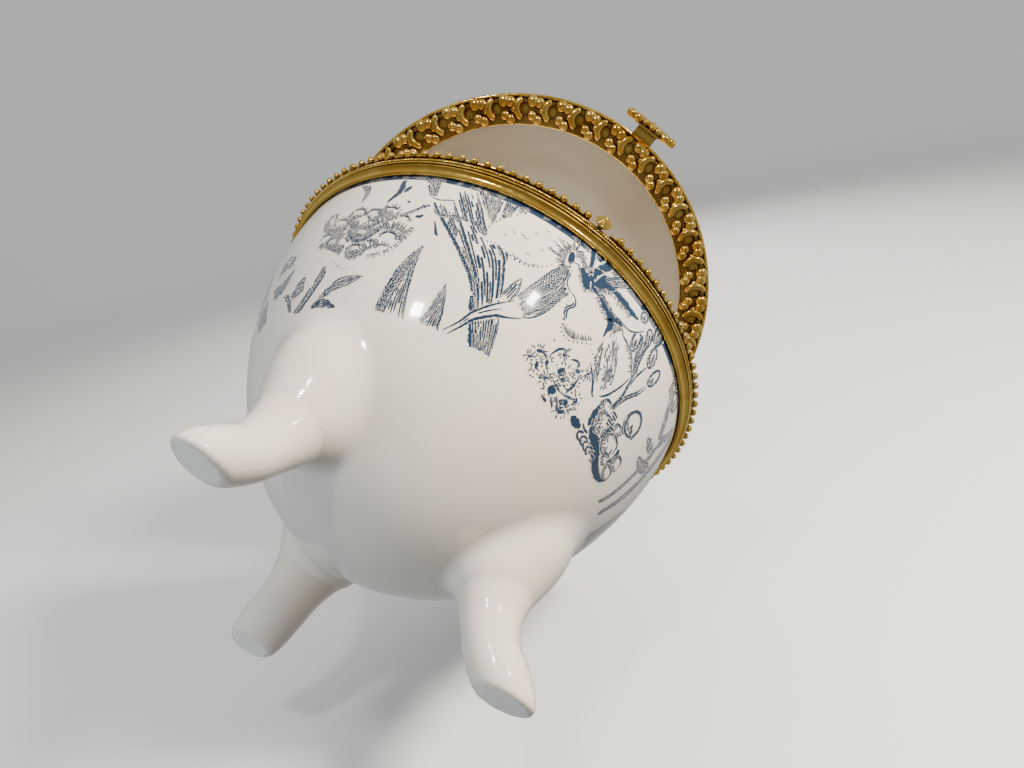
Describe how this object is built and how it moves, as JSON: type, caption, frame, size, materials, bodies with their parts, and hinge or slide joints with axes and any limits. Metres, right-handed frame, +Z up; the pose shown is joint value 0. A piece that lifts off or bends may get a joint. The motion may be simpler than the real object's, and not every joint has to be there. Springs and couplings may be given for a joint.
{
  "type": "hinged porcelain trinket box",
  "caption": "Egg-shaped porcelain trinket box on cabriole legs, with a hinged domed lid in a pierced, beaded brass mount and a snap clasp.",
  "frame": {"origin": "on the plane that the three feet stand on, under the middle of the box's overall outline with the lid at its rest opening", "axes": "+Z up, out of the bowl; -Y towards the clasp; +Y towards the hinge; the box is taller than it is wide with its lid open"},
  "size_m": [0.0588, 0.0628, 0.0864],
  "materials": {
    "bowl_porcelain": "glossy clear glaze over warm white porcelain, with a navy printed flower pattern on the upper half",
    "lid_porcelain": "glossy clear glaze over warm white porcelain; the outside is not seen, and its navy printed flower pattern is a guess that follows the bowl",
    "mount_gilt": "polished gilt",
    "bead_gilt": "polished gilt beads",
    "lace_gilt": "satin gilt casting, darker in its recesses",
    "clasp_gilt": "polished gilt",
    "hinge_brass": "polished gilt, slightly worn"
  },
  "bodies": {
    "base": {"porcelain_bowl": "bowl_porcelain", "base_collar": "mount_gilt", "pearl_wire_left": "bead_gilt", "pearl_wire_right": "bead_gilt", "rope_wire": "bead_gilt", "catch_knob": "clasp_gilt", "base_hinge_leaf": "hinge_brass", "hinge_pin": "hinge_brass"},
    "lid": {"porcelain_lid": "lid_porcelain", "lid_collar": "mount_gilt", "lid_lace": "lace_gilt", "lid_edge_wire": "bead_gilt", "clasp_tongue": "clasp_gilt", "clasp_bow": "clasp_gilt", "lid_hinge_leaf": "hinge_brass"}
  },
  "joints": [
    {"name": "lid_hinge", "type": "hinge", "parent": "base", "child": "lid", "pos_m": [0, 0.0291, 0.04205], "axis": [-1, 0, 0], "range_deg": [-32.6, 72.4]}
  ]
}
